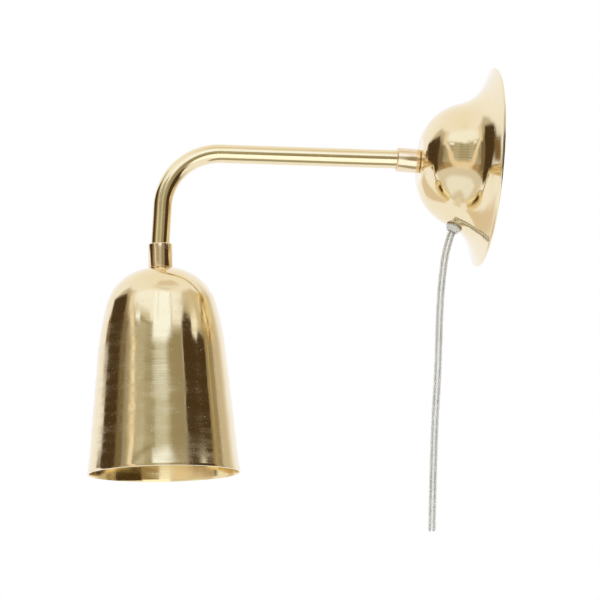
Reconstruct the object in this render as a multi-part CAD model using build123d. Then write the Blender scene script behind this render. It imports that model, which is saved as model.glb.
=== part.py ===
from build123d import *

import os
from math import cos, pi, radians, sin, tan

# Wall sconce of polished brass: a spun rose on the wall, a bent tube arm and a
# bell-shaped shade that hangs from its end. Millimetres, +Z up. The origin is the
# middle of the rose on the wall, whose face is y = 0, and the arm reaches out along -Y.

# ---- stock and threads
sheet = 1.0                 # spun brass of the rose and the shade
tube_od = 10.0
tube_wall = 1.0
thread_r = 5.0              # M10x1 lamp thread
nipple_bore_r = 3.8
nut_flats = 14.0
nut_thick = 3.0
screw_r = 1.25              # the small M2.5 screws

# ---- clearances
thread_gap = 0.05           # all round, between a thread or a tube and its hole
swivel_gap = 0.10           # between the turning collar and the rose
slide_gap = 0.25            # all round, where a thread passes a plain hole
face_gap = 0.05             # between pieces that are clamped face to face

# ---- the set of the arm, as it hangs
arm_droop = 3.34            # degrees that the arm falls below square to the wall
drop_lean = 0.7             # degrees that its end leans in to the wall
shade_lean = 5.0            # degrees that the shade's axis leans in to the wall
arm_length = 124.4          # from the rose collar to the corner
drop_length = 50.3          # from the corner to the shade collar
bend_r = 31.0
set_bend_r = 30.0           # the slight bends where the tube leaves each collar

# ---- collars
collar_od = 13.0
rose_collar_length = 12.5
shade_collar_length = 13.2
collar_edge = 0.4
rose_collar_grip = 6.5      # tube inside the collar
shade_collar_grip = 5.5
tube_to_nipple = 0.5        # left between the tube's end and the nipple's

# ---- rose, its outer face
rose_rim_r = 54.0
rose_depth = 36.9           # from the flat seat to the wall
rose_seat_r = 12.8
rose_crown = (14.17, 0.2)   # radius and distance below the seat, where its edge ends
rose_dome = (33.1, 19.0)    # and where the dome ends
rose_flare = (44.7, 4.6)    # radius and height above the wall, where the flare ends
cord_hole_along = 2.2       # from the end of the dome, along the flare

# ---- shade: radius and distance below its flat top
shade_rim = (40.4, 109.1)
shade_flare = (38.64, 95.1)
shade_cone = (33.95, 45.7)
shade_crown = (29.1, 19.3)
shade_seat_r = 7.0

# ---- bridge bracket on the wall
strap_width = 16.0
strap_thick = 2.0
bridge_half = 16.0          # half the width of the raised middle
bridge_height = 24.0        # front face above the wall
foot_reach = 38.0
strap_bend_r = 3.0
screw_spacing = 60.0
slot_width = 4.5
slot_length = 8.0

# ---- nipples
rose_nipple_tail = 1.0      # beyond the rear nut
shade_nipple_reach = 9.5    # below the shade's flat top

# ---- twin flex and its bushing
core_d = 2.0
core_pitch = 2.1
flex_width = 4.35
flex_thick = 2.3
flex_lean = 2.7             # degrees that the flex leans to the wall in its bushing
bushing_hole_r = 3.6
bushing_flange_r = 4.3
bushing_nose_r = 3.6
bushing_lift = 0.5          # its flange bears on the hollow side of the flare
bushing_back = 0.35         # and the flange inside clears the round of the rose
bushing_flange = 1.6
bushing_length = 3.4        # outside the rose
bushing_inner_flange = 1.5
bushing_slot_width = 5.6
bushing_slot_thick = 3.0
flex_inside = 3.4           # from the bushing's middle to the sheath's cut end
flex_run = 12.5             # its first straight run
tie_thick = 0.9
tie_width = 2.4
core_gap = 0.2              # between the cut end of the sheath and the bare cores
core_straight = 6.5         # through the tie
core_turn_apart = 0.95      # each way, halfway round their quarter turn
core_turned_z = -17.0
core_rise_y = -11.5         # where the cores rise behind the bracket

# ---- lampholder, measured down from the shade's flat top
holder_top = 5.3
holder_neck_r = 7.0
holder_r = 14.0
holder_wall = 1.3
holder_shoulder = 11.0
holder_joint = 20.0         # where the cap meets the body
holder_mouth = 48.0
spigot_length = 3.0
core_floor = 22.0           # the socket's floor
grip_count = 24             # grooves round the barrel
grip_width = 4.0
socket_r = 7.1              # E14 screw shell, inside
socket_wall = 0.5
socket_length = 20.0
socket_recess = 1.5         # from the mouth to the shell
core_terminal_x = 4.9       # where each core enters its terminal
core_terminal_depth = 1.4
terminal_x = 7.2
terminal_size = (7.0, 5.0, 2.4)
terminal_screw_x = 9.2
terminal_screw_length = 2.0
rivet_in = 2.6              # from the bore to a rivet's middle
contact_width = 4.0
contact_thick = 0.5
contact_arc = 30.0          # degrees of the tab that bears on the shell
rivet_r = 1.2


# ---------------------------------------------------------------- frames

wall_out = Plane(origin=(0, 0, 0), x_dir=(1, 0, 0), z_dir=(0, -1, 0))
"""Heights off the wall are this plane's z, and its y is up."""


def along(point, angle_below_arm, length):
    """The point at a length from another, turned down from the arm's -Y."""
    a = radians(angle_below_arm)
    return point + Vector(0, -cos(a), -sin(a)) * length


collar_mouth = Vector(0, -(rose_depth + swivel_gap + rose_collar_length), 0)
corner = along(collar_mouth, arm_droop, arm_length)
drop_end = along(corner, 90 + drop_lean, drop_length)
shade_top = along(drop_end, 90 + shade_lean, shade_collar_length)
shade_up = (drop_end - shade_top).normalized()
hang = Plane(origin=shade_top, x_dir=(1, 0, 0), z_dir=shade_up)
"""The shade's own frame: its flat top is z = 0 and the shade hangs below."""


def hung(x, below):
    """A point of the shade's frame that lies in the plane of its axis and X."""
    return hang.from_local_coords(Vector(x, 0, -below))


# ---------------------------------------------------------------- shapes

def turned(points, plane):
    """A solid turned about a plane's z from the corners of half its section."""
    profile = make_face(Polyline(*[(r, 0, z) for r, z in points], close=True))
    return plane.location * revolve(profile, Axis.Z)


def ring(outer_r, inner_r, low, high, plane, edge=0.1):
    """A tube or washer on a plane's z, with its outer edges taken off."""
    return turned([(inner_r, low), (outer_r - edge, low), (outer_r, low + edge),
                   (outer_r, high - edge), (outer_r - edge, high), (inner_r, high)], plane)


def bar(radius, low, high, plane):
    """A round bar on a plane's z."""
    return turned([(0, low), (radius, low), (radius, high), (0, high)], plane)


def hex_nut(low, plane):
    """A lamp nut, its corners rounded off on both faces."""
    blank = extrude(RegularPolygon(nut_flats / 2, 6, major_radius=False), nut_thick)
    corner_r = nut_flats / 2 / cos(pi / 6)
    fall = 0.5
    cone = turned([(0, 0), (corner_r - fall, 0), (corner_r, fall),
                   (corner_r, nut_thick - fall), (corner_r - fall, nut_thick), (0, nut_thick)],
                  Plane.XY)
    bore = Cylinder(thread_r + thread_gap, 4 * nut_thick)
    return plane.location * Pos(0, 0, low) * (blank & cone - bore)


def nipple(low, high, plane):
    """A length of threaded tube."""
    return ring(thread_r, nipple_bore_r, low, high, plane, edge=0.4)


def screw(head_r, head_thick, length, plane):
    """A slotted cheese-head screw: its head stands on the plane, its shank runs down."""
    head = bar(head_r, 0, head_thick, plane) - plane.location * (
        Pos(0, 0, head_thick) * Box(3 * head_r, 0.6, head_thick))
    return head + bar(screw_r, -length, 0, plane)


def spun(curves, plane):
    """A spun shell: the curves are its outer face, from the centre hole to the rim.

    Its arcs are made splines, because a dome's whole circle would reach across the axis.
    """
    outer = Wire([curve.edge() for curve in curves])
    outline = outer.offset_2d(sheet, kind=Kind.TANGENT, side=Side.RIGHT, closed=True)
    edges = [edge.to_splines() if edge.geom_type == GeomType.CIRCLE else edge
             for edge in outline.edges()]
    return plane.location * revolve(make_face(edges), Axis.Z)


def tube_along(path, radius):
    """A round bar swept along a path."""
    start = Plane(origin=path @ 0, z_dir=path % 0)
    return sweep(start * Circle(radius), path=path)


# ---------------------------------------------------------------- rose and bracket

def rose_curves():
    """Outer face of the rose from its seat to its rim, as radius and height."""
    seat = Line((thread_r + slide_gap, 0, rose_depth), (rose_seat_r, 0, rose_depth))
    crown_end = (rose_crown[0], 0, rose_depth - rose_crown[1])
    dome_end = (rose_dome[0], 0, rose_depth - rose_dome[1])
    crown = TangentArc(seat @ 1, crown_end, tangent=seat % 1)
    dome = TangentArc(crown @ 1, dome_end, tangent=crown % 1)
    flare = TangentArc(dome @ 1, (rose_flare[0], 0, rose_flare[1]), tangent=dome % 1)
    brim = TangentArc(flare @ 1, (rose_rim_r, 0, sheet), tangent=flare % 1)
    return seat, crown, dome, flare, brim


def bushing_plane():
    """Plane of the cord hole: its origin on the rose's outer face, its z outwards."""
    flare = rose_curves()[3]
    spot = flare.position_at(cord_hole_along, position_mode=PositionMode.LENGTH)
    run = flare.tangent_at(cord_hole_along, position_mode=PositionMode.LENGTH)
    return Plane(origin=(0, -spot.Z, -spot.X), x_dir=(1, 0, 0), z_dir=(0, -run.X, run.Z))


def wall_rose():
    """Seat, crown, dome, flare and brim, with the cord's hole below."""
    cord_hole = bar(bushing_hole_r, -3 * sheet, 3 * sheet, bushing_plane())
    return spun(rose_curves(), wall_out) - cord_hole


bridge_back = bridge_height - strap_thick


def wall_bracket():
    """A strap folded into a bridge, with a slot in each foot and a tapped middle."""
    fold = FilletPolyline((-foot_reach, 0), (-bridge_half, 0), (-bridge_half, -bridge_back),
                          (bridge_half, -bridge_back), (bridge_half, 0), (foot_reach, 0),
                          radius=strap_bend_r)
    side = Wire(fold.edges()).offset_2d(strap_thick, side=Side.RIGHT, closed=True)
    strap = extrude(make_face(side.edges()), strap_width / 2, both=True)
    ends = [e for e in strap.edges().filter_by(Axis.Y) if abs(abs(e.center().X) - foot_reach) < 0.1]
    strap = fillet(ends, strap_width / 2 - 0.5)
    for side_x in (-1, 1):
        slot = extrude(SlotOverall(slot_length, slot_width), 3 * strap_thick, both=True)
        strap -= wall_out.location * Pos(side_x * screw_spacing / 2, 0, 0) * slot
    return strap - bar(thread_r + thread_gap, 0, 2 * bridge_height, wall_out)


rear_nut_low = bridge_back - face_gap - nut_thick
rose_nipple_end = -collar_mouth.Y - rose_collar_grip - tube_to_nipple


def bracket_nut_rear():
    return hex_nut(rear_nut_low, wall_out)


def bracket_nut_front():
    return hex_nut(bridge_height + face_gap, wall_out)


def rose_nipple():
    return nipple(rear_nut_low - rose_nipple_tail, rose_nipple_end, wall_out)


# ---------------------------------------------------------------- flex

def cord_bushing():
    """A clear bushing snapped into the rose, with a flange on each side."""
    back = -sheet - bushing_back
    end = back - bushing_inner_flange
    body = turned([(0, end), (bushing_flange_r - 0.5, end),
                   (bushing_flange_r, end + 0.5), (bushing_flange_r, back - 0.1),
                   (bushing_flange_r - 0.1, back), (bushing_hole_r - face_gap, back),
                   (bushing_hole_r - face_gap, bushing_lift), (bushing_flange_r, bushing_lift),
                   (bushing_flange_r, bushing_flange - 0.4), (bushing_flange_r - 0.4, bushing_flange),
                   (bushing_nose_r, bushing_flange + 0.3),
                   (bushing_nose_r - 0.25, bushing_length - 0.4),
                   (bushing_nose_r - 0.6, bushing_length), (0, bushing_length)], bushing_plane())
    slot = SlotOverall(bushing_slot_width, bushing_slot_thick, rotation=90)
    return body - bushing_plane().location * extrude(slot, 2 * bushing_length, both=True)


flex_down = bushing_plane().z_dir.rotate(Axis.X, flex_lean)
flex_across = flex_down.rotate(Axis.X, 90)
flex_middle = bushing_plane().origin + bushing_plane().z_dir * (bushing_length - sheet
                                                                - bushing_inner_flange) / 2
flex_start = flex_middle - flex_down * flex_inside

# The lead hangs free from the bushing to its bare end, in the plane x = 0.
flex_points = [flex_start, flex_start + flex_down * flex_run,
               Vector(0, -21.0, -62.0), Vector(0, -21.2, -84.0), Vector(0, -20.3, -112.0),
               Vector(0, -20.5, -142.0), Vector(0, -19.7, -172.0), Vector(0, -18.8, -199.0)]


def eased(points):
    """A path of straight runs and arcs, each arc as large as its two runs allow."""
    radii = []
    for before, here, after in zip(points, points[1:], points[2:]):
        turn = (here - before).get_angle(after - here)
        run = min((here - before).length, (after - here).length)
        radii.append(0.45 * run / tan(radians(turn) / 2))
    return FilletPolyline(*points, radius=radii), radii


def cord_lead():
    """The visible stretch of clear twin flex, flat side to the side of the lamp."""
    path, radii = eased(flex_points)
    section = Plane(origin=path @ 0, x_dir=(1, 0, 0), z_dir=path % 0) * SlotOverall(
        flex_width, flex_thick, rotation=90)
    lead = sweep(section, path=path)
    area = flex_thick * (flex_width - flex_thick) + pi * flex_thick ** 2 / 4
    print("cord radii", [round(r) for r in radii])
    print("cord length", round(path.length, 1), "volume / (section x length)",
          round(lead.volume / area / path.length, 3))
    return lead


def rose_core(side):
    """One core of the flex, from the bushing up and out through the nipple.

    The pair lies front to back in the bushing, and side by side in the nipple.
    """
    x = side * core_pitch / 2
    apart = side * core_turn_apart
    tied = flex_start + flex_across * x
    turning = Vector(0, (flex_start.Y + core_rise_y) / 2, (tied.Z + core_turned_z) / 2 + 2)
    path, _ = eased([tied - flex_down * core_gap, tied - flex_down * core_straight,
                     turning + Vector(apart, apart, 0),
                     Vector(x * 1.15, core_rise_y, core_turned_z), Vector(x, core_rise_y, 0),
                     Vector(x, -rose_nipple_end - face_gap, 0)])
    return tube_along(path, core_d / 2)


def cord_tie():
    """A tie drawn tight round both cores inside the bushing, so the flex can't pull out."""
    across = core_pitch + core_d + 0.1
    middle = flex_start - flex_down * (core_gap + tie_width)
    at = Plane(origin=middle, x_dir=(1, 0, 0), z_dir=flex_down)
    hole = SlotOverall(across, core_d + 0.1, rotation=90)
    band = SlotOverall(across + 2 * tie_thick, core_d + 0.1 + 2 * tie_thick, rotation=90)
    loop = extrude(band - hole, tie_width / 2, both=True)
    head = Pos(core_d / 2 + tie_thick + 1.6, 0, 0) * Box(3.2, 4.0, tie_width + 1.2)
    return at.location * (loop + fillet(head.edges(), 0.4))


# ---------------------------------------------------------------- arm

def rose_collar():
    low = rose_depth + swivel_gap
    return ring(collar_od / 2, thread_r + thread_gap, low, low + rose_collar_length, wall_out,
                edge=collar_edge)


def arm_path():
    start = collar_mouth + Vector(0, rose_collar_grip, 0)
    return FilletPolyline(start, collar_mouth, corner, drop_end,
                          drop_end - shade_up * shade_collar_grip,
                          radius=[set_bend_r, bend_r, set_bend_r])


def arm_tube():
    path = arm_path()
    return tube_along(path, tube_od / 2) - tube_along(path, tube_od / 2 - tube_wall)


def arm_core(side):
    """One core of the flex, from the rose nipple through the arm to its terminal."""
    across = Vector(side * core_pitch / 2, 0, 0)
    terminal = side * core_terminal_x
    path = FilletPolyline(Vector(0, -rose_nipple_end - 0.2, 0) + across, collar_mouth + across,
                          corner + across, drop_end + across,
                          hung(across.X, shade_nipple_reach),
                          hung(terminal, terminal_top - 1.8),
                          hung(terminal, terminal_top + core_terminal_depth - face_gap),
                          radius=[set_bend_r, bend_r, set_bend_r, 2.0, 2.0])
    return tube_along(path, core_d / 2)


def shade_collar():
    return ring(collar_od / 2, thread_r + thread_gap, face_gap, shade_collar_length, hang,
                edge=collar_edge)


def shade_nipple():
    top = shade_collar_length - shade_collar_grip - tube_to_nipple
    return nipple(-shade_nipple_reach, top, hang)


# ---------------------------------------------------------------- shade

def shade():
    """The bell: a flat seat, a round crown, a slow shoulder, a long cone, a flared rim."""
    seat_edge = (shade_seat_r, 0, 0)
    down = (shade_flare[0] - shade_cone[0], 0, -(shade_flare[1] - shade_cone[1]))
    cone = Line((shade_cone[0], 0, -shade_cone[1]), (shade_flare[0], 0, -shade_flare[1]))
    rim = TangentArc(cone @ 1, (shade_rim[0], 0, -shade_rim[1]), tangent=down)
    shoulder = TangentArc(cone @ 0, (shade_crown[0], 0, -shade_crown[1]),
                          tangent=(-down[0], 0, -down[2]))
    crown = TangentArc(shoulder @ 1, seat_edge, tangent=shoulder % 1)
    seat = Line((thread_r + slide_gap, 0, 0), seat_edge)
    return spun([seat, crown, shoulder, cone, rim], hang)


washer_low = sheet + face_gap
washer_thick = 1.0


def shade_washer():
    return ring(shade_seat_r, thread_r + slide_gap, -washer_low - washer_thick, -washer_low, hang,
                edge=0.2)


def shade_nut():
    return hex_nut(-washer_low - washer_thick - face_gap - nut_thick, hang)


# ---------------------------------------------------------------- lampholder

body_top = holder_joint - spigot_length
terminal_top = body_top - terminal_size[2]
spigot_r = holder_r - holder_wall - face_gap
shell_r = socket_r + socket_wall
shell_low = holder_mouth - socket_recess - socket_length
rivet_x = shell_r - rivet_in


def cap_screw_plane():
    """Where the small screw locks the cap on the nipple, in from its front."""
    middle = (holder_top + shade_nipple_reach) / 2
    return Plane(origin=hang.from_local_coords(Vector(0, -holder_neck_r, -middle)),
                 x_dir=(1, 0, 0), z_dir=-hang.y_dir)


def holder_cap():
    """The cap that screws on the nipple, with a neck and a rounded shoulder."""
    inner = holder_r - holder_wall
    cap = turned([(thread_r + thread_gap, -holder_top), (holder_neck_r, -holder_top),
                  (holder_neck_r, -(holder_top + 2.6)), (holder_neck_r + 0.8, -(holder_top + 3.6)),
                  (holder_r - 2.4, -(holder_shoulder - 1.0)), (holder_r - 0.6, -holder_shoulder - 0.3),
                  (holder_r, -(holder_shoulder + 1.8)), (holder_r, -holder_joint),
                  (inner, -holder_joint), (inner, -(holder_shoulder + 1.8)),
                  (inner - 1.2, -(holder_shoulder + 0.6)),
                  (thread_r + thread_gap, -(holder_shoulder - 1.2))], hang)
    return cap - bar(screw_r + thread_gap, -4, 4, cap_screw_plane())


def cap_screw():
    grub = bar(screw_r, -(holder_neck_r - thread_r) + face_gap, 0.4, cap_screw_plane())
    slot = cap_screw_plane().location * Pos(0, 0, 0.4) * Box(3, 0.5, 0.8)
    return grub - slot


def holder_body():
    """Insulating body: a spigot in the cap, a ribbed barrel and the socket's bore."""
    bore = shell_r + face_gap
    body = turned([(0, -body_top), (spigot_r, -body_top), (spigot_r, -holder_joint - face_gap),
                   (holder_r - 0.4, -holder_joint - face_gap), (holder_r, -holder_joint - 0.5),
                   (holder_r, -(holder_joint + 6)), (holder_r - 0.8, -(holder_joint + 7)),
                   (holder_r - 1.4, -(holder_mouth - 1)), (holder_r - 2.2, -holder_mouth),
                   (bore, -holder_mouth), (bore, -core_floor), (0, -core_floor)], hang)
    for x in (-rivet_x, rivet_x):
        body -= hang.location * Pos(x, 0, -body_top) * Cylinder(rivet_r + thread_gap, holder_mouth)
    groove = Pos(0, 0, -(holder_joint + grip_width / 2 + 1)) * Cylinder(0.45, grip_width)
    return body - [hang.location * place * groove
                   for place in PolarLocations(holder_r, grip_count)]


def holder_terminals():
    """Two brass terminals on the body, each riveted through its floor."""
    blocks = []
    for side in (-1, 1):
        block = Pos(side * terminal_x, 0, -(terminal_top + terminal_size[2] / 2)) * Box(*terminal_size)
        block = fillet(block.edges().filter_by(Axis.Z), 0.5)
        rivet = Pos(side * rivet_x, 0, -(body_top + core_floor) / 2) * Cylinder(
            rivet_r, core_floor - body_top)
        screw_hole = Pos(side * terminal_screw_x, 0, -terminal_top) * Cylinder(
            screw_r + thread_gap, 2 * terminal_screw_length)
        core_hole = Pos(side * core_terminal_x, 0, -terminal_top) * Cylinder(
            core_d / 2 + face_gap, 2 * core_terminal_depth)
        blocks.append(hang.location * (block + rivet - screw_hole - core_hole))
    return Compound(children=blocks)


def terminal_screws():
    screws = []
    for x in (-terminal_screw_x, terminal_screw_x):
        stand = Plane(origin=hung(x, terminal_top - face_gap), x_dir=(1, 0, 0), z_dir=hang.z_dir)
        screws.append(screw(1.7, 1.1, terminal_screw_length - face_gap, stand))
    return Compound(children=screws)


def centre_contact():
    """A springy tongue that bows down to the lamp's tip from the live rivet."""
    low = -core_floor - face_gap
    bow = FilletPolyline((rivet_x + 1.6, low), (rivet_x - 1.8, low), (0.6, low - 2.8),
                         (-2.8, low - 2.0), radius=1.2)
    strip = Wire(bow.edges()).offset_2d(contact_thick, side=Side.LEFT, closed=True)
    tongue = extrude(make_face(strip.edges()), contact_width / 2, both=True)
    return hang.location * Rot(90, 0, 0) * tongue


def side_contact():
    """A strip from the neutral rivet with a curved tab that bears on the screw shell."""
    low = core_floor + face_gap
    strip = Pos(-rivet_x - 0.3, 0, -(low + contact_thick / 2)) * Box(
        3.4, contact_width, contact_thick)
    height = shell_low - face_gap - low
    tab = Cylinder(shell_r, height, arc_size=contact_arc) - Cylinder(socket_r, height)
    return hang.location * (strip + Pos(0, 0, -(low + height / 2))
                            * Rot(0, 0, 180 - contact_arc / 2) * tab)


def socket_shell():
    """The screw shell that a lamp's cap goes into."""
    return ring(shell_r, socket_r, -(shell_low + socket_length), -shell_low, hang)


# ---------------------------------------------------------------- write

pieces = {
    "wall_bracket": wall_bracket,
    "bracket_nut_rear": bracket_nut_rear,
    "bracket_nut_front": bracket_nut_front,
    "rose_nipple": rose_nipple,
    "wall_rose": wall_rose,
    "cord_bushing": cord_bushing,
    "cord_tie": cord_tie,
    "cord_lead": cord_lead,
    "live_core_rose": lambda: rose_core(1),
    "neutral_core_rose": lambda: rose_core(-1),
    "rose_collar": rose_collar,
    "arm_tube": arm_tube,
    "live_core_arm": lambda: arm_core(1),
    "neutral_core_arm": lambda: arm_core(-1),
    "shade_collar": shade_collar,
    "shade_nipple": shade_nipple,
    "shade": shade,
    "shade_washer": shade_washer,
    "shade_nut": shade_nut,
    "holder_cap": holder_cap,
    "cap_screw": cap_screw,
    "holder_body": holder_body,
    "holder_terminals": holder_terminals,
    "terminal_screws": terminal_screws,
    "centre_contact": centre_contact,
    "side_contact": side_contact,
    "socket_shell": socket_shell,
}

os.makedirs("parts", exist_ok=True)
for name, make in pieces.items():
    export_step(make(), f"parts/{name}.step")
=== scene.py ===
from math import acos, atan2, cos, hypot, pi, radians, sin, tan

import bmesh
import bpy
from mathutils import Matrix, Vector


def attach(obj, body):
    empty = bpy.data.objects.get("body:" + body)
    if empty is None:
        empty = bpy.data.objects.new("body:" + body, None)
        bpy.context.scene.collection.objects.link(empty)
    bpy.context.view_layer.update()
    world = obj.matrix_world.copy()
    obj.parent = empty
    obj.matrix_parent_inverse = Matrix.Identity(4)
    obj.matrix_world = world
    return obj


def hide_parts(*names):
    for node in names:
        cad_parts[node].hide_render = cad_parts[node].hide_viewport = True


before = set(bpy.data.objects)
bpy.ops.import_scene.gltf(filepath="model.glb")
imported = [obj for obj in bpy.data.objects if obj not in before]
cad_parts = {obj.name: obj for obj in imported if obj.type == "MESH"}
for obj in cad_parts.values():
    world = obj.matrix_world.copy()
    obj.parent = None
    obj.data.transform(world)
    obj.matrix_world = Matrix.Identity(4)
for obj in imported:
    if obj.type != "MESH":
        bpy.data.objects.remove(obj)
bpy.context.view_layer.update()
scene = bpy.context.scene
scene.view_settings.view_transform = "Standard"
mm = 0.001

# ------------------------------------------------------------------ camera

picture_centre = Vector((3.1, -97.0, -81.7)) * mm
camera_azimuth = radians(83.43)
camera_height = radians(-10.11)
camera_roll = radians(3.68)
camera_distance = 1.600
camera_lens = 180.66     # mm, on a picture 36 mm wide


def make_camera():
    """The photograph's view: from the sconce's side and a little below it."""
    a, e, roll = camera_azimuth, camera_height, camera_roll
    back = Vector((sin(a) * cos(e), -cos(a) * cos(e), sin(e)))
    level = Vector((cos(a), sin(a), 0))
    right = level * cos(roll) + back.cross(level) * sin(roll)
    up = back.cross(right)
    camera = bpy.data.objects.new("camera", bpy.data.cameras.new("camera"))
    camera.data.lens = camera_lens
    camera.data.sensor_width = 36
    camera.data.clip_start = 0.05
    camera.data.clip_end = 60
    turned = Matrix((right, up, back)).transposed().to_4x4()
    camera.matrix_world = Matrix.Translation(picture_centre + back * camera_distance) @ turned
    scene.collection.objects.link(camera)
    scene.camera = camera


make_camera()

# ------------------------------------------------------------------ frames of the sconce

# In off_wall, z runs out from the wall and y points up. The shade hangs in its own frame,
# in which z runs up its axis and its flat top is z = 0. The bushing's z runs down its axis,
# out of its hole.
off_wall = Matrix(((1, 0, 0, 0), (0, 0, -1, 0), (0, 1, 0, 0), (0, 0, 0, 1)))
collar_mouth = Vector((0, -49.5, 0)) * mm
arm_corner = Vector((0, -173.689, -7.248)) * mm
drop_end = Vector((0, -173.074, -57.544)) * mm
shade_top = Vector((0, -171.924, -70.694)) * mm
shade_up = (drop_end - shade_top).normalized()
shade_lean = atan2(-shade_up.y, shade_up.z)
hang = Matrix.Translation(shade_top) @ Matrix.Rotation(shade_lean, 4, "X")

bushing_middle = Vector((0, -15.8325, -33.8493)) * mm
bushing_out = Vector((0, -0.388103, -0.921616))
bushing_lean = atan2(-bushing_out.y, bushing_out.z)
in_bushing = Matrix.Translation(bushing_middle) @ Matrix.Rotation(bushing_lean, 4, "X")

# ------------------------------------------------------------------ node helpers


def node(tree, kind, inputs=None, **settings):
    """A shader node with its settings made and its inputs set or linked."""
    made = tree.nodes.new("ShaderNode" + kind)
    for name, value in settings.items():
        setattr(made, name, value)
    for name, value in (inputs or {}).items():
        if isinstance(value, bpy.types.NodeSocket):
            tree.links.new(value, made.inputs[name])
        else:
            made.inputs[name].default_value = value
    return made


def sums(tree, operation, *values, clamp=False):
    """A Math node's result."""
    made = node(tree, "Math", dict(enumerate(values)), operation=operation, use_clamp=clamp)
    return made.outputs[0]


def between(tree, value, low, high, start=0.0, end=1.0, smooth=False):
    """A value carried from one range to another and kept within it."""
    made = node(tree, "MapRange", {"Value": value, "From Min": low, "From Max": high,
                                   "To Min": start, "To Max": end})
    if smooth:
        made.interpolation_type = "SMOOTHSTEP"
    return made.outputs[0]


def blend(tree, amount, first, second):
    """A colour mixed from two."""
    made = node(tree, "Mix", {0: amount, 6: first, 7: second}, data_type="RGBA")
    return made.outputs[2]


def grain(tree, place, scale, detail=2.0, roughness=0.5, distortion=0.0):
    """The value of a noise texture."""
    made = node(tree, "TexNoise", {"Vector": place, "Scale": scale, "Detail": detail,
                                   "Roughness": roughness, "Distortion": distortion})
    return made.outputs[0]


def start_group(name, takes, gives):
    """A node group, in which Place is a vector and every other socket a value; gives its
    tree, what comes in and what goes out."""
    tree = bpy.data.node_groups.new(name, "ShaderNodeTree")
    for way, labels in (("INPUT", takes), ("OUTPUT", gives)):
        for label in labels:
            kind = "NodeSocketVector" if label == "Place" else "NodeSocketFloat"
            tree.interface.new_socket(label, in_out=way, socket_type=kind)
    return tree, tree.nodes.new("NodeGroupInput").outputs, tree.nodes.new("NodeGroupOutput")


def use_group(tree, group, inputs):
    """A placed group's outputs."""
    return node(tree, "Group", inputs, node_tree=group).outputs


# ------------------------------------------------------------------ shared finishes


def make_lathe_marks():
    """Rings that the spinning tool and the polishing wheel leave round an axis."""
    tree, given, out = start_group("lathe_marks", ["Place", "Spacing", "Waver"],
                                   ["Height", "Streak"])
    parts = node(tree, "SeparateXYZ", {0: given["Place"]}).outputs
    radius = sums(tree, "SQRT", sums(tree, "ADD", sums(tree, "MULTIPLY", parts[0], parts[0]),
                                     sums(tree, "MULTIPLY", parts[1], parts[1])))
    side = sums(tree, "DIVIDE", parts[0], radius)
    front = sums(tree, "DIVIDE", parts[1], radius)
    fine = sums(tree, "DIVIDE", 1.0, given["Spacing"])
    sway = sums(tree, "MULTIPLY", grain(tree, given["Place"], 60.0, 1.0), given["Waver"])
    rise = sums(tree, "MULTIPLY_ADD", parts[2], fine, sway)
    reach = sums(tree, "MULTIPLY_ADD", radius, fine, sums(tree, "MULTIPLY", side, 0.8))
    ring = node(tree, "CombineXYZ", {0: reach, 1: rise, 2: front}).outputs[0]
    tree.links.new(grain(tree, ring, 1.0, 3.0, 0.6), out.inputs["Height"])
    broad = node(tree, "VectorMath", {0: ring, 1: (0.16, 0.16, 1.3)}, operation="MULTIPLY")
    tree.links.new(between(tree, grain(tree, broad.outputs[0], 1.0, 3.0, 0.65), 0.3, 0.75),
                   out.inputs["Streak"])
    return tree


def make_hair_scratches():
    """Long thin curved scratches, as a mask."""
    tree, given, out = start_group("hair_scratches", ["Place", "Scale", "Width"], ["Mask"])
    far = sums(tree, "ABSOLUTE", sums(tree, "SUBTRACT", grain(
        tree, given["Place"], given["Scale"], 0.0, 0.5, 0.6), 0.5))
    line = sums(tree, "SUBTRACT", 1.0, sums(tree, "DIVIDE", far, given["Width"], clamp=True))
    broken = between(tree, grain(tree, given["Place"], 900.0, 1.0), 0.5, 0.62)
    tree.links.new(sums(tree, "MULTIPLY", line, broken), out.inputs["Mask"])
    return tree


def make_specks():
    """Scattered small specks, such as dust and pits, as a mask."""
    tree, given, out = start_group("specks", ["Place", "Scale", "Size", "Share"], ["Mask"])
    cells = node(tree, "TexVoronoi", {"Vector": given["Place"], "Scale": given["Scale"]})
    chosen = sums(tree, "LESS_THAN", node(tree, "SeparateColor", {
        0: cells.outputs["Color"]}).outputs[0], given["Share"])
    edge = sums(tree, "MULTIPLY", given["Size"], 0.5)
    past = sums(tree, "SUBTRACT", cells.outputs["Distance"], edge)
    dot = sums(tree, "SUBTRACT", 1.0, sums(tree, "DIVIDE", past, edge, clamp=True))
    tree.links.new(sums(tree, "MULTIPLY", dot, chosen), out.inputs["Mask"])
    return tree


def make_soft_dents():
    """The slow unevenness of hand-worked sheet, with a few shallow dents."""
    tree, given, out = start_group("soft_dents", ["Place", "Scale", "Dents"], ["Height"])
    slow = grain(tree, given["Place"], given["Scale"], 1.5, 0.45)
    cells = node(tree, "TexVoronoi", {"Vector": given["Place"],
                                      "Scale": sums(tree, "MULTIPLY", given["Scale"], 0.9)})
    dented_share = 0.16
    chosen = sums(tree, "LESS_THAN", node(tree, "SeparateColor", {
        0: cells.outputs["Color"]}).outputs[0], dented_share)
    bowl = between(tree, cells.outputs["Distance"], 0.0, 0.22, 1.0, 0.0, smooth=True)
    dent = sums(tree, "MULTIPLY", sums(tree, "MULTIPLY", bowl, chosen), given["Dents"])
    tree.links.new(sums(tree, "SUBTRACT", slow, dent), out.inputs["Height"])
    return tree


lathe_marks = make_lathe_marks()
hair_scratches = make_hair_scratches()
specks = make_specks()
soft_dents = make_soft_dents()


def start_material(name):
    """A new material; gives it, its tree, its shader and the object's coordinates."""
    material = bpy.data.materials.new(name)
    material.use_nodes = True
    tree = material.node_tree
    coords = node(tree, "TexCoord").outputs["Object"]
    return material, tree, tree.nodes["Principled BSDF"], coords


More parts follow.
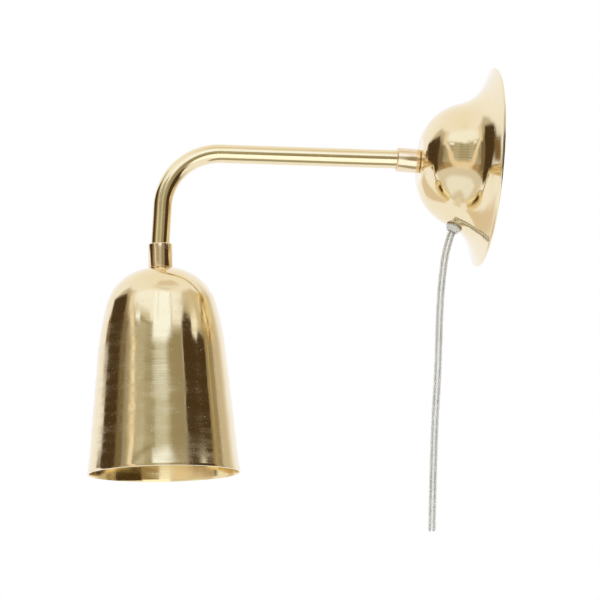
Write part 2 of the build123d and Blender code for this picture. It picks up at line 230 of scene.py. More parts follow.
def into_frame(tree, coords, place):
    """Object coordinates carried into one of the sconce's own frames."""
    back = place.inverted()
    turn = back.to_euler()
    return node(tree, "Mapping", {"Vector": coords, "Location": back.to_translation(),
                                  "Rotation": (turn.x, turn.y, turn.z)}).outputs[0]


def polished_brass(name, colour, place, shine, haze, dents=1.0, marks=1.0,
                   spacing=0.0009, tarnish=0.25):
    """Lacquered brass polished on the wheel, turned or spun about the frame's z."""
    material, tree, shader, coords = start_material(name)
    here = into_frame(tree, coords, place)
    rings = use_group(tree, lathe_marks, {"Place": here, "Spacing": spacing, "Waver": 0.6})
    hairs = use_group(tree, hair_scratches, {"Place": coords, "Scale": 210.0, "Width": 0.010})
    dust = use_group(tree, specks, {"Place": coords, "Scale": 620.0, "Size": 0.16,
                                    "Share": 0.10})
    uneven = use_group(tree, soft_dents, {"Place": coords, "Scale": 70.0, "Dents": 0.5})

    # the colour: warmer clouds under the lacquer, paler scratches and dust
    clouds = grain(tree, coords, 45.0, 3.0, 0.6)
    warm = blend(tree, between(tree, clouds, 0.35, 0.75, 0.0, tarnish), (*colour, 1),
                 (colour[0] * 0.90, colour[1] * 0.80, colour[2] * 0.62, 1))
    dulled = blend(tree, sums(tree, "MULTIPLY", hairs["Mask"], 0.35), warm,
                   (colour[0] * 1.05, colour[1] * 1.1, colour[2] * 1.3, 1))
    dusty = blend(tree, sums(tree, "MULTIPLY", dust["Mask"], 0.7), dulled,
                  (0.93, 0.86, 0.68, 1))
    tree.links.new(dusty, shader.inputs["Base Color"])

    # the shine, dulled in misty places by the polishing's satin streaks
    misty = between(tree, grain(tree, coords, 24.0, 2.0, 0.55), 0.32, 0.62, 0.25, 1.0)
    satin = sums(tree, "MULTIPLY", sums(tree, "MULTIPLY", rings["Streak"], misty), haze)
    rough = sums(tree, "MULTIPLY_ADD", hairs["Mask"], 0.25, sums(tree, "ADD", satin, shine))
    tree.links.new(sums(tree, "MULTIPLY_ADD", dust["Mask"], 0.4, rough),
                   shader.inputs["Roughness"])
    shader.inputs["Metallic"].default_value = 1.0

    # the surface: slow dents, the tool's rings and the scratches
    slow = node(tree, "Bump", {"Strength": 1.0, "Distance": 0.00013 * dents,
                               "Height": uneven["Height"]}).outputs[0]
    brushed = sums(tree, "MULTIPLY", rings["Height"], misty)
    fine = node(tree, "Bump", {"Strength": 1.0, "Distance": 0.000010 * marks,
                               "Height": brushed, "Normal": slow}).outputs[0]
    scored = node(tree, "Bump", {"Strength": 0.5, "Distance": 0.000004,
                                 "Height": hairs["Mask"], "Normal": fine}, invert=True)
    tree.links.new(scored.outputs[0], shader.inputs["Normal"])
    return material


brass_tone = (0.87, 0.73, 0.45)
collar_tone = (0.88, 0.71, 0.47)
# the shade's inside gets a deeper gold copy of the brass: painted colour that stands in for the
# warm light bounced round inside the bell
inside_deep_gold_tone = (0.86, 0.69, 0.36)

rose_brass = polished_brass("rose_brass", brass_tone, off_wall, shine=0.035, haze=0.16,
                            dents=0.6, marks=0.6)
shade_brass = polished_brass("shade_brass", brass_tone, hang, shine=0.04, haze=0.26,
                             marks=1.15)
shade_inside_brass = polished_brass("shade_inside_brass", inside_deep_gold_tone, hang, shine=0.05,
                                    haze=0.2, marks=1.5, tarnish=0.4)
arm_brass = polished_brass("arm_brass", brass_tone, Matrix(), shine=0.05, haze=0.15, dents=0.5,
                           marks=0.6, spacing=0.0006)
rose_collar_brass = polished_brass("rose_collar_brass", collar_tone, off_wall, shine=0.06,
                                   haze=0.2, dents=0.2, marks=1.5, spacing=0.0003)
shade_collar_brass = polished_brass("shade_collar_brass", collar_tone, hang, shine=0.06,
                                    haze=0.2, dents=0.2, marks=1.5, spacing=0.0003)


def clear_plastic(name, tint, cloud, through, bending=1.45, waves=0.00002):
    """Clear soft plastic with a slight haze and fine marks from handling."""
    material, tree, shader, coords = start_material(name)
    clouds = grain(tree, coords, 120.0, 3.0, 0.6)
    shade = blend(tree, between(tree, clouds, 0.35, 0.7), (*tint, 1),
                  (tint[0] * 0.95, tint[1] * 0.95, tint[2] * 0.93, 1))
    tree.links.new(shade, shader.inputs["Base Color"])
    dust = use_group(tree, specks, {"Place": coords, "Scale": 700.0, "Size": 0.14,
                                    "Share": 0.12})
    rough = between(tree, clouds, 0.3, 0.7, cloud * 0.6, cloud * 1.3)
    tree.links.new(sums(tree, "MULTIPLY_ADD", dust["Mask"], 0.25, rough),
                   shader.inputs["Roughness"])
    shader.inputs["Transmission Weight"].default_value = through
    shader.inputs["IOR"].default_value = bending
    wavy = node(tree, "Bump", {"Strength": 1.0, "Distance": waves,
                               "Height": grain(tree, coords, 260.0, 1.0)}).outputs[0]
    tree.links.new(wavy, shader.inputs["Normal"])
    return material


def worked_metal(name, colour, rough, scale, metallic=1.0, streak=(1, 1, 1)):
    """Turned, stamped or plated metal, with tool marks, clouds and small scratches."""
    material, tree, shader, coords = start_material(name)
    run = node(tree, "Mapping", {"Vector": coords, "Scale": streak}).outputs[0]
    tool = grain(tree, run, scale, 3.0, 0.6)
    clouds = grain(tree, coords, 90.0, 3.0, 0.6)
    hairs = use_group(tree, hair_scratches, {"Place": coords, "Scale": 420.0, "Width": 0.02})
    darker = tuple(c * 0.72 for c in colour)
    lighter = tuple(min(1, c * 1.15) for c in colour)
    tone = blend(tree, between(tree, clouds, 0.35, 0.7), (*colour, 1), (*darker, 1))
    worn = sums(tree, "MULTIPLY", hairs["Mask"], 0.3)
    tree.links.new(blend(tree, worn, tone, (*lighter, 1)), shader.inputs["Base Color"])
    tree.links.new(between(tree, tool, 0.3, 0.7, rough * 0.7, rough * 1.4),
                   shader.inputs["Roughness"])
    shader.inputs["Metallic"].default_value = metallic
    marks = node(tree, "Bump", {"Strength": 0.6, "Distance": 0.00001, "Height": tool})
    tree.links.new(marks.outputs[0], shader.inputs["Normal"])
    return material


def moulded(name, colour, rough, texture):
    """Moulded plastic with a fine surface, dust and rubbed places."""
    material, tree, shader, coords = start_material(name)
    fine = grain(tree, coords, texture, 2.0, 0.6)
    clouds = grain(tree, coords, 80.0, 3.0, 0.6)
    dust = use_group(tree, specks, {"Place": coords, "Scale": 500.0, "Size": 0.2,
                                    "Share": 0.2})
    rubbed = tuple(min(1, c * 1.25 + 0.01) for c in colour)
    pale = tuple(min(1, c + 0.12) for c in colour)
    tone = blend(tree, between(tree, clouds, 0.4, 0.75), (*colour, 1), (*rubbed, 1))
    tree.links.new(blend(tree, sums(tree, "MULTIPLY", dust["Mask"], 0.6), tone, (*pale, 1)),
                   shader.inputs["Base Color"])
    tree.links.new(between(tree, clouds, 0.3, 0.7, rough * 0.8, rough * 1.2),
                   shader.inputs["Roughness"])
    skin = node(tree, "Bump", {"Strength": 0.5, "Distance": 0.00002, "Height": fine})
    tree.links.new(skin.outputs[0], shader.inputs["Normal"])
    return material


def insulated_core(name, colour):
    """A core of the flex on its own: tinned strands under clear soft plastic."""
    material, tree, shader, coords = start_material(name)
    lay = node(tree, "TexWave", {"Vector": coords, "Scale": 260.0, "Distortion": 1.5,
                                 "Detail": 1.0}, bands_direction="DIAGONAL").outputs[1]
    dark = tuple(c * 0.6 for c in colour)
    tree.links.new(blend(tree, lay, (*dark, 1), (*colour, 1)), shader.inputs["Base Color"])
    tree.links.new(between(tree, grain(tree, coords, 200.0), 0.3, 0.7, 0.25, 0.45),
                   shader.inputs["Roughness"])
    shader.inputs["Metallic"].default_value = 0.4
    shader.inputs["Coat Weight"].default_value = 0.8
    shader.inputs["Coat Roughness"].default_value = 0.12
    return material


sheath_clear = clear_plastic("sheath_clear", (0.97, 0.97, 0.95), 0.10, through=0.7,
                             bending=1.36)
# milky and smooth, as a small thick moulding looks
bushing_clear = clear_plastic("bushing_clear", (0.94, 0.96, 0.93), 0.28, through=0.15,
                              waves=0.000004)
core_strands = worked_metal("core_strands", (0.86, 0.83, 0.78), 0.45, 1500.0, metallic=0.2)
shell_brass = worked_metal("shell_brass", (0.80, 0.62, 0.32), 0.26, 900.0)
fitting_brass = worked_metal("fitting_brass", (0.78, 0.60, 0.28), 0.30, 700.0)
holder_cap_brass = worked_metal("holder_cap_brass", (0.80, 0.62, 0.30), 0.28, 500.0)
contact_brass = worked_metal("contact_brass", (0.80, 0.62, 0.32), 0.32, 800.0)
bracket_steel = worked_metal("bracket_steel", (0.62, 0.63, 0.64), 0.36, 400.0,
                             streak=(0.08, 1, 1))
screw_steel = worked_metal("screw_steel", (0.60, 0.60, 0.62), 0.30, 900.0)
holder_black = moulded("holder_black", (0.03, 0.03, 0.03), 0.42, 2200.0)
tie_nylon = moulded("tie_nylon", (0.86, 0.86, 0.82), 0.40, 1500.0)
live_core = insulated_core("live_core", (0.55, 0.47, 0.38))
neutral_core = insulated_core("neutral_core", (0.60, 0.56, 0.50))

# ------------------------------------------------------------------ mesh helpers


def finish_piece(bm, name, body, materials, place=None, sharp=35.0):
    """Turns a bmesh into a piece of the sconce that rides on its body."""
    if place is not None:
        bmesh.ops.transform(bm, matrix=place, verts=bm.verts)
    mesh = bpy.data.meshes.new(name)
    bm.to_mesh(mesh)
    bm.free()
    for face in mesh.polygons:
        face.use_smooth = True
    mesh.set_sharp_from_angle(angle=radians(sharp))
    for material in materials:
        mesh.materials.append(material)
    piece = bpy.data.objects.new(name, mesh)
    scene.collection.objects.link(piece)
    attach(piece, body)
    return piece


def stands_for(nodename):
    """The piece takes a solid's place: the solid is hidden."""
    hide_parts(nodename)


def section_point(bm, r, z):
    """Starts a section at a radius and height, in mm."""
    return bm.verts.new((r * mm, 0, z * mm))


def draw_line(bm, last, r, z, steps=1):
    """Carries a section on in a straight run to a radius and height, in mm."""
    start = last.co.copy()
    end = Vector((r * mm, 0, z * mm))
    for i in range(steps):
        point = bm.verts.new(start.lerp(end, (i + 1) / steps))
        bm.edges.new((last, point))
        last = point
    return last


def draw_arc(bm, last, heading, r, z, steps):
    """Carries a section on in the arc that leaves along heading; gives its last heading too."""
    chord = Vector((r * mm - last.co.x, z * mm - last.co.z))
    half = atan2(heading.x * chord.y - heading.y * chord.x, heading.dot(chord))
    radius = chord.length / (2 * sin(half))
    centre = (last.co.x - heading.y * radius, 0, last.co.z + heading.x * radius)
    made = bmesh.ops.spin(bm, geom=[last], cent=centre, axis=(0, -1, 0), angle=2 * half,
                          steps=steps, use_duplicate=False)
    end = [v for v in made["geom_last"] if isinstance(v, bmesh.types.BMVert)][0]
    return end, Matrix.Rotation(2 * half, 2) @ heading


def closed_section(bm, points):
    """A closed section from its corners, as radius and height in mm."""
    corners = [section_point(bm, r, z) for r, z in points]
    for here, there in zip(corners, corners[1:] + corners[:1]):
        bm.edges.new((here, there))


def spin_round(bm, steps):
    """Turns the whole section about z into a closed surface."""
    bmesh.ops.spin(bm, geom=bm.verts[:] + bm.edges[:], cent=(0, 0, 0), axis=(0, 0, 1),
                   angle=2 * pi, steps=steps, use_merge=True)
    bmesh.ops.remove_doubles(bm, verts=bm.verts, dist=1e-7)
    bmesh.ops.recalc_face_normals(bm, faces=bm.faces)


def thicken(bm, wall):
    """Gives a sheet its wall, inwards from the outer face."""
    bmesh.ops.solidify(bm, geom=bm.faces[:], thickness=wall * mm)
    bmesh.ops.recalc_face_normals(bm, faces=bm.faces)


def round_edges(bm, width, angle=50.0):
    """Takes the sharpness off the edges, as on a part that has been polished."""
    edges = [e for e in bm.edges if len(e.link_faces) == 2
             and e.calc_face_angle(0) > radians(angle)]
    bmesh.ops.bevel(bm, geom=edges, offset=width * mm, segments=2, profile=0.5,
                    affect="EDGES", material=-1)


def round_ring(bm, radius, sides):
    """An open ring of edges round z."""
    made = bmesh.ops.create_circle(bm, cap_ends=False, segments=sides, radius=radius * mm)
    return list({e for v in made["verts"] for e in v.link_edges})


def carry_ring(bm, edges, move):
    """Extrudes an open ring of edges and moves the new ring."""
    made = bmesh.ops.extrude_edge_only(bm, edges=edges)["geom"]
    verts = [v for v in made if isinstance(v, bmesh.types.BMVert)]
    bmesh.ops.transform(bm, matrix=move, verts=verts)
    return [e for e in made if isinstance(e, bmesh.types.BMEdge)
            and all(v in verts for v in e.verts)]


# ------------------------------------------------------------------ flex

# The flex's route: the same points as the solid's, in metres.
flex_route = [(0, -0.014837, -0.031072), (0, -0.019140, -0.042808), (0, -0.0210, -0.0620),
              (0, -0.0212, -0.0840), (0, -0.0203, -0.1120), (0, -0.0205, -0.1420),
              (0, -0.0197, -0.1720), (0, -0.0188, -0.1990)]
# Its section, in mm: two round halves, each with a core of wound strands.
core_pitch = 1.95
half_sheath_r = 1.12
waist = 0.75             # the share of its thickness that is left between the halves
strand_r = 0.50 / 3
strands = 7              # to a core: six wound round the last one
strand_lay = 24.0        # the length of one whole turn
core_set_back = 0.2      # from the sheath's end inside the bushing
sheath_set_back = 0.6    # from the cores' bare end


def route_frames(resolution):
    """The flat flex's frame at points along its smooth line: z runs along it, y across."""
    curve = bpy.data.curves.new("flex_line", "CURVE")
    curve.dimensions = "3D"
    line = curve.splines.new("NURBS")
    line.points.add(len(flex_route) - 1)
    for point, place in zip(line.points, flex_route):
        point.co = (*place, 1)
    line.order_u = 3
    line.use_endpoint_u = True
    line.resolution_u = resolution
    holder = bpy.data.objects.new("flex_line", curve)
    drawn = bpy.data.meshes.new_from_object(holder)
    places = [v.co.copy() for v in drawn.vertices]
    bpy.data.objects.remove(holder)
    bpy.data.meshes.remove(drawn)
    frames = []
    for i, place in enumerate(places):
        run = (places[min(i + 1, len(places) - 1)] - places[max(i - 1, 0)]).normalized()
        thin = Vector((1, 0, 0))
        wide = run.cross(thin)
        turned = Matrix((thin, wide, run)).transposed().to_4x4()
        frames.append(Matrix.Translation(place) @ turned)
    return frames


def follow(bm, ring, frames):
    """Carries a ring of edges, drawn about the origin, along the frames; closes both ends."""
    bmesh.ops.transform(bm, matrix=frames[0], verts=list({v for e in ring for v in e.verts}))
    bmesh.ops.contextual_create(bm, geom=ring)
    edges = ring
    for here, there in zip(frames, frames[1:]):
        edges = carry_ring(bm, edges, there @ here.inverted())
    bmesh.ops.contextual_create(bm, geom=edges)


def flat_flex_ring(bm):
    """The flat flex's outline: two round halves with a shallow waist between them."""
    ring = round_ring(bm, half_sheath_r, 32)
    for v in {v for e in ring for v in e.verts}:
        if abs(v.co.y) < 1e-6:
            v.co.x *= waist
        else:
            v.co.y += (1 if v.co.y > 0 else -1) * core_pitch / 2 * mm
    return ring


def wound_line(line, side, strand):
    """The frames of one strand, wound round the middle of its core."""
    reach = 0 if strand == strands - 1 else 2 * strand_r * mm
    wound = []
    gone = 0.0
    before = line[0].translation
    for at in line:
        gone += (at.translation - before).length
        before = at.translation
        turn = Matrix.Rotation(gone / (strand_lay * mm) * 2 * pi + strand * pi / 3, 4, "Z")
        wound.append(at @ Matrix.Translation((0, side * core_pitch / 2 * mm, 0))
                     @ turn @ Matrix.Translation((reach, 0, 0)))
    return wound


def make_flex():
    """The clear sheath, and inside it the two cores of wound strands."""
    frames = route_frames(14)
    bm = bmesh.new()
    sheath_end = frames[-1] @ Matrix.Translation((0, 0, -sheath_set_back * mm))
    follow(bm, flat_flex_ring(bm), frames[:-1] + [sheath_end])
    bmesh.ops.recalc_face_normals(bm, faces=bm.faces)
    sheath = finish_piece(bm, "flex_sheath", "wall_fixture", [sheath_clear], sharp=60)
    stands_for("cord_lead")

    bm = bmesh.new()
    line = [frames[0] @ Matrix.Translation((0, 0, core_set_back * mm))] + frames[1:]
    for side in (-1, 1):
        for strand in range(strands):
            follow(bm, round_ring(bm, strand_r, 6), wound_line(line, side, strand))
    bmesh.ops.recalc_face_normals(bm, faces=bm.faces)
    cores = finish_piece(bm, "flex_cores", "wall_fixture", [core_strands], sharp=60)


make_flex()

# ------------------------------------------------------------------ spun rose and shade

# Sizes in mm, here and below.
sheet = 1.0              # the wall of both shells and of the tube
nipple_hole_r = 5.25
polished_edge = 0.15
shell_steps = 240        # round the axis

# An arc is the radius and height of its end, and its steps; each runs on from the last.
rose_depth = 36.9
rose_seat_r = 12.8
rose_arcs = [(14.17, 36.7, 6),       # the seat's rounded edge
             (33.1, 17.9, 44),       # the dome
             (44.7, 4.6, 26),        # the turn from the dome to the flare
             (54.0, 1.0, 12)]        # the flare, out to the rim
cord_hole_r = 3.6

shade_flare = (38.64, -95.1)         # where the straight cone meets the flare
shade_rim = (40.4, -109.1)
shade_shoulder = (33.95, -45.7)      # where the straight cone meets the shoulder
shade_arcs = [(29.1, -19.3, 16),     # the shoulder
              (7.0, 0.0, 40)]        # the crown, up to the flat seat
deep_gold_from_r = 6.0                    # inside, the painted deeper gold (bounced light) starts past the hole's edge


def make_rose():
    """The rose, spun from sheet: a flat seat, a dome and a flared rim."""
    bm = bmesh.new()
    last = section_point(bm, nipple_hole_r, rose_depth)
    last = draw_line(bm, last, rose_seat_r, rose_depth, 4)
    heading = Vector((1, 0))
    for r, z, steps in rose_arcs:
        last, heading = draw_arc(bm, last, heading, r, z, steps)
    spin_round(bm, shell_steps)
    cut_cord_hole(bm, cord_hole_r)
    thicken(bm, sheet)
    round_edges(bm, polished_edge)
    rose = finish_piece(bm, "spun_rose", "wall_fixture", [rose_brass], off_wall)
    stands_for("wall_rose")


def cut_cord_hole(bm, radius):
    """Opens the hole for the bushing and draws its edge to a true circle."""
    to_hole = in_bushing.inverted() @ off_wall
    this_side = -10 * mm     # the far side of the rose lies further back
    inside = [v for v in bm.verts if hypot(*(to_hole @ v.co).xy) < radius * mm
              and (to_hole @ v.co).z > this_side]
    bmesh.ops.delete(bm, geom=inside, context="VERTS")
    back = to_hole.inverted()
    for v in bm.verts:
        at = to_hole @ v.co
        reach = hypot(at.x, at.y)
        if v.is_boundary and reach < 1.6 * radius * mm and at.z > this_side:
            v.co = back @ Vector((at.x * radius * mm / reach, at.y * radius * mm / reach, at.z))


def make_shade():
    """The shade, drawn both ways from the foot of its cone: down the flare to the rim, and
    up the cone, the shoulder and the crown to the flat seat."""
    bm = bmesh.new()
    down = Vector([a - b for a, b in zip(shade_flare, shade_shoulder)]).normalized()
    foot = section_point(bm, *shade_flare)
    draw_arc(bm, foot, down, *shade_rim, 10)
    last = draw_line(bm, foot, *shade_shoulder, 12)
    heading = -down
    for r, z, steps in shade_arcs:
        last, heading = draw_arc(bm, last, heading, r, z, steps)
    draw_line(bm, last, nipple_hole_r, 0.0, 2)
    spin_round(bm, shell_steps)
    thicken(bm, sheet)
    round_edges(bm, polished_edge)
    # inner faces past the hole's edge take the second material, whose deeper gold is painted
    # bounced light
    for face in bm.faces:
        centre = face.calc_center_median()
        inward = face.normal.x * centre.x + face.normal.y * centre.y < 0
        face.material_index = int(inward and hypot(centre.x, centre.y) > deep_gold_from_r * mm)
    shade = finish_piece(bm, "bell_shade", "arm", [shade_brass, shade_inside_brass], hang)
    stands_for("shade")


# ------------------------------------------------------------------ arm and collars

tube_r = 5.0
rose_collar_grip = 6.5               # how far the tube reaches into each collar
shade_collar_grip = 5.5
arm_bends = [(30, 4),                # each bend's radius and its steps: out of one collar,
             (31, 48),               # round the corner
             (30, 4)]                # and into the other collar
thread_hole_r = 5.05
collar_r = 6.5
collar_chamfer = 0.4


def make_arm():
    """The arm: a tube bent along the line from one collar to the other."""
    bm = bmesh.new()
    edges = round_ring(bm, tube_r, 72)
    points = [collar_mouth + Vector((0, rose_collar_grip * mm, 0)), collar_mouth, arm_corner,
              drop_end, drop_end - shade_up * shade_collar_grip * mm]
    start = Matrix.Translation(points[0]) @ Matrix.Rotation(pi / 2, 4, "X")
    bmesh.ops.transform(bm, matrix=start, verts=bm.verts)
    here = points[0]
    for i, (bend_r, steps) in enumerate(arm_bends):
        before = (points[i + 1] - points[i]).normalized()
        after = (points[i + 2] - points[i + 1]).normalized()
        turn = acos(max(-1, min(1, before.dot(after))))
        reach = bend_r * mm * tan(turn / 2)
        tangent = points[i + 1] - before * reach
        edges = straight_run(bm, edges, tangent - here, 6)
        axis = before.cross(after).normalized()
        made = bmesh.ops.spin(bm, geom=edges + list({v for e in edges for v in e.verts}),
                              cent=tangent + axis.cross(before) * bend_r * mm, axis=axis,
                              angle=turn, steps=steps)
        edges = [e for e in made["geom_last"] if isinstance(e, bmesh.types.BMEdge)]
        here = points[i + 1] + after * reach
    straight_run(bm, edges, points[-1] - here, 2)
    bmesh.ops.remove_doubles(bm, verts=bm.verts, dist=1e-7)
    bmesh.ops.recalc_face_normals(bm, faces=bm.faces)
    thicken(bm, sheet)
    arm = finish_piece(bm, "bent_arm", "arm", [arm_brass])
    stands_for("arm_tube")


def straight_run(bm, edges, run, steps):
    """Extrudes the tube's open end along a straight run."""
    for _ in range(steps):
        edges = carry_ring(bm, edges, Matrix.Translation(run / steps))
    return edges


def make_collar(name, nodename, place, low, high, material):
    """A turned collar, bored for the thread and chamfered at both ends."""
    bm = bmesh.new()
    face_r = collar_r - collar_chamfer
    closed_section(bm, [(thread_hole_r, low), (face_r, low), (collar_r, low + collar_chamfer),
                        (collar_r, high - collar_chamfer), (face_r, high),
                        (thread_hole_r, high)])
    spin_round(bm, 128)
    round_edges(bm, 0.1, angle=30)
    collar = finish_piece(bm, name, "arm", [material], place, sharp=25)
    stands_for(nodename)


# ------------------------------------------------------------------ bushing and screw shell

bushing_bore_r = 2.35
bushing_neck_r = 3.55
bushing_flange_r = 4.3
# from the mouth of the bore: the nose, the flange that shows, the neck in the sheet and the
# catch behind it
bushing_section = [
    (bushing_bore_r, 3.1), (2.6, 3.4), (3.0, 3.4), (3.35, 3.0), (bushing_neck_r, 1.9),
    (3.9, 1.6), (4.15, 1.45), (bushing_flange_r, 1.2), (bushing_flange_r, 0.5),
    (bushing_neck_r, 0.5), (bushing_neck_r, -1.35),
    (4.2, -1.35), (bushing_flange_r, -1.45), (bushing_flange_r, -2.35), (3.8, -2.85),
    (bushing_bore_r, -2.85)]
bore_squeeze = (0.62, 1.1, 1)        # the round bore drawn to the flat flex

thread_low, thread_high = -46.5, -26.5
thread_pitch = 2.82
thread_mean_r = 7.35
thread_wave = 0.22                   # how far the rolled thread swings either way
thread_steps = 12                    # along the axis to a pitch
thread_around = 96


def make_bushing():
    """A clear snap-in bushing, its bore drawn in to the flat flex."""
    bm = bmesh.new()
    closed_section(bm, bushing_section)
    spin_round(bm, 96)
    bore = [v for v in bm.verts if hypot(v.co.x, v.co.y) < (bushing_bore_r + 0.05) * mm]
    bmesh.ops.scale(bm, vec=bore_squeeze, verts=bore)
    round_edges(bm, 0.08, angle=30)
    bushing = finish_piece(bm, "clear_bushing", "wall_fixture", [bushing_clear], in_bushing)
    stands_for("cord_bushing")


def make_screw_shell():
    """The lampholder's thin shell: a rolled thread, drawn too long and cut at both ends."""
    start = thread_high + 2 * thread_pitch
    bm = bmesh.new()
    last = section_point(bm, thread_mean_r + thread_wave, start)
    for i in range(1, 10 * thread_steps + 1):
        swing = thread_wave * cos(i * 2 * pi / thread_steps)
        last = draw_line(bm, last, thread_mean_r + swing,
                         start - i * thread_pitch / thread_steps)
    bmesh.ops.spin(bm, geom=bm.verts[:] + bm.edges[:], cent=(0, 0, 0), axis=(0, 0, 1),
                   dvec=(0, 0, -thread_pitch * mm / thread_around), angle=2 * pi,
                   steps=thread_around)
    bmesh.ops.remove_doubles(bm, verts=bm.verts, dist=1e-5)
    for z, side in ((thread_low, -1), (thread_high, 1)):
        bmesh.ops.bisect_plane(bm, geom=bm.verts[:] + bm.edges[:] + bm.faces[:],
                               plane_co=(0, 0, z * mm), plane_no=(0, 0, side),
                               clear_outer=True)
    bmesh.ops.recalc_face_normals(bm, faces=bm.faces)
    thicken(bm, 0.3)
    shell = finish_piece(bm, "screw_shell", "arm", [shell_brass], hang)
    stands_for("socket_shell")


make_rose()
make_shade()
make_arm()
make_collar("collar_at_rose", "rose_collar", off_wall, 37.0, 49.5, rose_collar_brass)
make_collar("collar_at_shade", "shade_collar", hang, 0.05, 13.2, shade_collar_brass)
make_bushing()
make_screw_shell()

finish_of = {
    "wall_bracket": bracket_steel, "bracket_nut_rear": fitting_brass,
    "bracket_nut_front": fitting_brass, "rose_nipple": fitting_brass,
    "cord_tie": tie_nylon, "live_core_rose": live_core, "neutral_core_rose": neutral_core,
    "live_core_arm": live_core, "neutral_core_arm": neutral_core,
    "shade_nipple": fitting_brass, "shade_washer": fitting_brass, "shade_nut": fitting_brass,
    "holder_cap": holder_cap_brass, "cap_screw": screw_steel, "holder_body": holder_black,
    "holder_terminals": contact_brass, "terminal_screws": screw_steel,
    "centre_contact": contact_brass, "side_contact": contact_brass}
for name, material in finish_of.items():
    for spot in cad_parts[name].material_slots:
        spot.material = material

# ------------------------------------------------------------------ studio


def make_floor():
    """A plain pale floor well below the sconce."""
    bm = bmesh.new()
    bmesh.ops.create_circle(bm, cap_ends=True, segments=96, radius=9.0)
    bmesh.ops.translate(bm, vec=(0, 0, -1.5), verts=bm.verts)
    mesh = bpy.data.meshes.new("floor")
    bm.to_mesh(mesh)
    bm.free()
    floor = bpy.data.objects.new("floor", mesh)
    scene.collection.objects.link(floor)
    floor.visible_glossy = False
    material, _, shader, _ = start_material("floor_paint")
    shader.inputs["Base Color"].default_value = (0.98, 0.95, 0.87, 1)
    shader.inputs["Roughness"].default_value = 0.9
    mesh.materials.append(material)


def make_panel_side():
    """How far a direction lies inside one straight side of a panel, in degrees."""
    tree, given, out = start_group(
        "panel_side", ["Side", "Height", "Across", "Up", "Offset"], ["Inside"])
    flat = sums(tree, "MULTIPLY_ADD", given["Side"], given["Across"], given["Offset"])
    tree.links.new(sums(tree, "MULTIPLY_ADD", given["Height"], given["Up"], flat),
                   out.inputs["Inside"])
    return tree


def box(left, low, right, high):
    """The corners of an upright panel, counterclockwise."""
    return [(left, low), (right, low), (right, high), (left, high)]


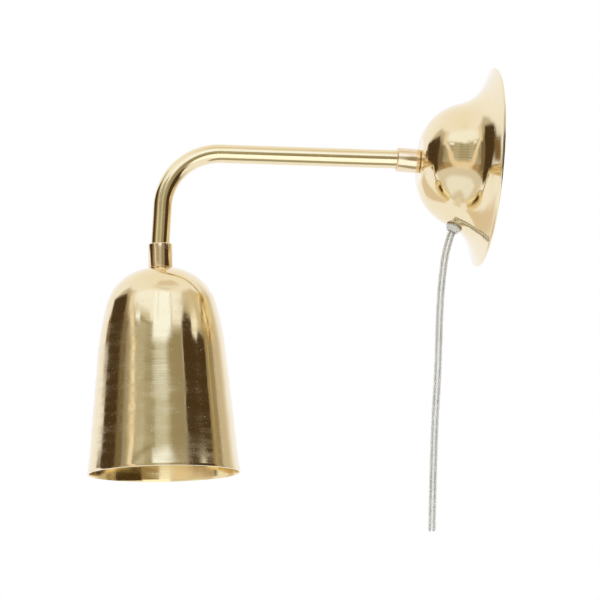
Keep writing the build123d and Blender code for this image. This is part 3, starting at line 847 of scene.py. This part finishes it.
def make_studio():
    """A pale studio for the brass to show: soft panels and dark screens, placed by their
    direction from the sconce, in degrees round from the camera's side and up."""
    world = bpy.data.worlds.new("studio")
    scene.world = world
    world.use_nodes = True
    tree = world.node_tree
    look = node(tree, "TexCoord").outputs["Generated"]
    turn = node(tree, "Mapping", {"Vector": look,
                                  "Rotation": (0, 0, radians(90) - camera_azimuth)})
    parts = node(tree, "SeparateXYZ", {0: turn.outputs[0]}).outputs
    side = sums(tree, "DEGREES", sums(tree, "ARCTAN2", parts[1], parts[0]))
    height = sums(tree, "DEGREES", sums(tree, "ARCSINE", parts[2]))
    panel_side = make_panel_side()
    colour = blend(tree, between(tree, height, 40, 75), (1.02, 1.06, 1.20, 1),
                   (0.98, 0.98, 1.0, 1))

    def panel(corners, soft, tone, strength=1.0):
        """Lays a panel over what is there, its edge soft over so many degrees. It is
        convex, and its corners run counterclockwise."""
        nonlocal colour
        inside = None
        for (s0, h0), (s1, h1) in zip(corners, corners[1:] + corners[:1]):
            length = hypot(s1 - s0, h1 - h0)
            across, up = -(h1 - h0) / length, (s1 - s0) / length
            reach = use_group(tree, panel_side, {
                "Side": side, "Height": height, "Across": across, "Up": up,
                "Offset": -(across * s0 + up * h0)})[0]
            inside = reach if inside is None else sums(tree, "MINIMUM", inside, reach)
        mask = between(tree, inside, -soft / 2, soft / 2, 0.0, strength, smooth=True)
        colour = blend(tree, mask, colour, (*tone, 1))

    dark = (0.075, 0.047, 0.022)
    bright = (1.12, 1.27, 1.60)
    # overhead and low down: a dim patch above, the near floor with its bright middle
    panel(box(-30, 66, 70, 82), 10, (0.80, 0.74, 0.68))
    panel(box(-84, -68, -5, -10), 8, (0.78, 0.75, 0.74))
    panel([(-74, -56), (-12, -54), (-8, -34), (-50, -26), (-66, -28)], 10, (0.96, 1.02, 1.16))
    panel(box(-6, -57, 40, -11), 6, (1.30, 1.40, 1.60))
    panel(box(-110, -86, 125, -66), 10, (0.84, 0.82, 0.79))
    panel(box(-8, -84, 125, -63), 5, (0.42, 0.40, 0.31))
    # level with the floor's far edge: what the inside of the shade shows
    panel(box(-82, -12, -44, -1), 3, (0.48, 0.34, 0.20))
    panel(box(-44, -12, -14, -1), 3, (0.78, 0.66, 0.48))
    panel(box(10, -12, 70, -1), 4, (0.32, 0.25, 0.13))
    # right of the camera
    panel([(80, -25), (124, -30), (136, 40), (82, 34)], 26, (0.66, 0.60, 0.52))
    panel([(80, -22), (104, -22), (106, 30), (82, 30)], 4, (0.36, 0.31, 0.21))
    panel([(90, -22), (92, -22), (94, 30), (92, 30)], 1.5, (0.62, 0.48, 0.24))
    # the grey panel in front, with its slatted patch, and the pale band above it
    panel(box(-64, -3, 38, 28), 3, (0.50, 0.48, 0.38))
    panel(box(-46, -3, -30, 28), 8, (0.62, 0.61, 0.54))
    slat_levels, half_slat = (3.0, 7.6, 12.2, 16.8, 21.4, 26.0), 0.9
    for level in slat_levels:
        panel(box(-52, level - half_slat, -13, level + half_slat), 1.6, (0.30, 0.26, 0.17),
              0.75)
    panel(box(-11, -3, 6, 28), 8, (0.60, 0.61, 0.55))
    panel(box(12, -3, 38, 28), 6, (0.36, 0.32, 0.22))
    panel([(-76, 44), (-60, 46), (40, 50), (80, 44), (70, 58), (-30, 64), (-66, 56)], 6,
          (0.84, 0.81, 0.78))
    panel([(-60, 28), (14, 28), (34, 37), (38, 44), (6, 52), (-40, 52), (-62, 42)], 3,
          (1.06, 1.16, 1.38))
    panel([(-17, 19), (6, 20), (17, 25), (18, 50), (-17, 50)], 4, bright)
    panel(box(-55, 24.5, -44, 28), 1.5, bright)
    panel(box(-58, 28, -24, 30), 1.5, (0.72, 0.68, 0.56))
    panel(box(-9.5, 30, -8, 50), 1, (0.86, 0.84, 0.78))
    panel([(18, 24), (20, 24), (21, 46), (19, 46)], 1, (0.62, 0.58, 0.48))
    # dark screens on either side, and the brown panel that runs out beside the left one
    panel([(-88, -8), (-66, -8), (-62, 8), (-64, 26), (-88, 34)], 14, (0.22, 0.17, 0.10))
    panel([(-118, 20), (-70, 24), (-70, 42), (-100, 44)], 8, (0.44, 0.37, 0.26), 0.7)
    panel([(-107, 4), (-88, -14), (-80, -8), (-80, 26), (-90, 35), (-120, 22), (-119, 14)], 4,
          dark)
    panel([(-124, 10), (-115, 9), (-115, 17), (-124, 16)], 1.5, (0.22, 0.14, 0.06))
    panel([(44, 32), (84, 26), (104, 40), (90, 54), (52, 50)], 8, (0.68, 0.60, 0.45), 0.9)
    panel([(38, -20), (84, -20), (86, 24), (60, 33), (48, 36), (39, 31)], 2.5, dark)
    panel([(59, 26), (67, 24), (77, 29), (74, 34), (62, 33)], 3, (1.06, 1.08, 1.10))
    # the bright leaning strip that comes down to the floor
    panel([(-72, 24), (-62, 24), (-70, 44), (-80, 44)], 4, (0.90, 0.86, 0.80), 0.9)
    panel([(-51, 10), (-44, 10), (-59, 26), (-70, 28)], 3, (1.00, 0.92, 0.84))
    panel([(-56, 12), (-49, -4), (-39, -1), (-44, 12)], 3, (0.92, 0.80, 0.66))
    panel([(-49, -4), (-32, -15), (-24, -9), (-39, -1)], 3, (0.90, 0.79, 0.66))
    panel(box(-34, -17, -14, -6), 3, (0.92, 0.82, 0.72))
    # a tan wedge low on the far left
    panel([(-138, -14), (-112, -52), (-104, -50), (-110, -25), (-126, 2), (-138, 0)], 6,
          (0.80, 0.71, 0.62))

    # the camera, and what is seen through the clear plastic, get plain white
    rays = node(tree, "LightPath").outputs
    white = sums(tree, "MAXIMUM", rays["Is Camera Ray"], rays["Is Transmission Ray"])
    tree.links.new(blend(tree, white, colour, (1, 1, 1, 1)),
                   tree.nodes["Background"].inputs["Color"])


def make_soft_light():
    """One large soft light, above and in front of the sconce and on the camera's side."""
    light = bpy.data.lights.new("soft_light", "AREA")
    light.shape = "DISK"
    light.size = 1.2
    light.energy = 9
    placed = bpy.data.objects.new("soft_light", light)
    placed.location = (0.9, -1.1, 1.3)
    aim = picture_centre - placed.location
    placed.rotation_euler = aim.to_track_quat("-Z", "Y").to_euler()
    placed.visible_glossy = False
    scene.collection.objects.link(placed)


make_floor()
make_studio()
make_soft_light()
